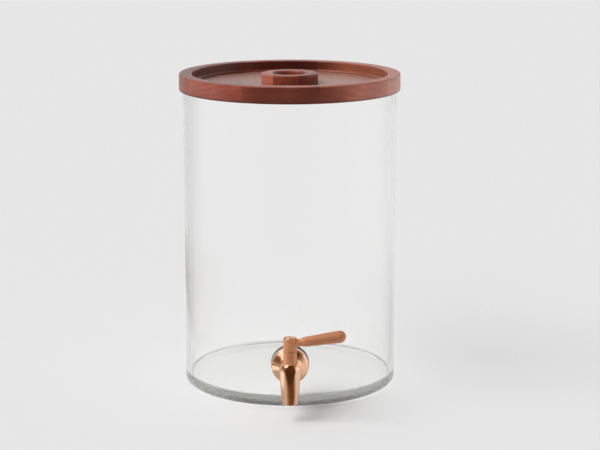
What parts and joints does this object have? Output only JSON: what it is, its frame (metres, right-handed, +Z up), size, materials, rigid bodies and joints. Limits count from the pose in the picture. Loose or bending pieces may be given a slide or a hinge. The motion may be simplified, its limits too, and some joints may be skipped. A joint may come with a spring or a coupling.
{
  "type": "glass beverage dispenser",
  "caption": "Straight-sided glass jar with a wooden tray lid, a ring pull and a copper-coloured quarter-turn tap near its foot, for serving cold drinks.",
  "frame": {"origin": "centre of the jar's flat foot, on the surface it stands on", "axes": "+Z up along the jar's axis, -Y the front with the tap, +X the side that the shut lever points to"},
  "size_m": [0.206, 0.2496, 0.294],
  "materials": {
    "clear_glass": "clear, faintly grey in the thick floor",
    "oiled_wood": "reddish-brown hardwood staves, oiled to a satin sheen",
    "polished_copper": "copper plating, polished",
    "satin_copper": "copper plating, satin",
    "bare_brass": "turned brass",
    "stainless_steel": "plain stainless steel",
    "silicone": "milky translucent silicone",
    "black_rubber": "black rubber"
  },
  "bodies": {
    "jar": {"glass_jar": "clear_glass", "tap_body": "polished_copper", "tap_rosette": "polished_copper", "outer_gasket": "black_rubber", "inner_gasket": "black_rubber", "shank_washer": "stainless_steel", "lock_nut": "satin_copper", "port_seal": "silicone", "stop_pin": "stainless_steel", "thrust_washer": "bare_brass"},
    "valve": {"valve_plug": "bare_brass", "upper_o_ring": "black_rubber", "lower_o_ring": "black_rubber", "lever_handle": "satin_copper", "handle_screw": "stainless_steel", "hub_cap": "satin_copper"},
    "lid": {"lid_board": "oiled_wood", "lid_ring_pull": "oiled_wood", "pull_screws": "stainless_steel", "lid_seal": "silicone"}
  },
  "joints": [
    {"name": "lever_turn", "type": "hinge", "parent": "jar", "child": "valve", "pos_m": [0, -0.1375, 0.041], "axis": [0, 0, 1], "range_deg": [-90, 0]},
    {"name": "lid_lift", "type": "slide", "parent": "jar", "child": "lid", "axis": [0, 0, 1], "range_m": [0, 0.08]}
  ]
}
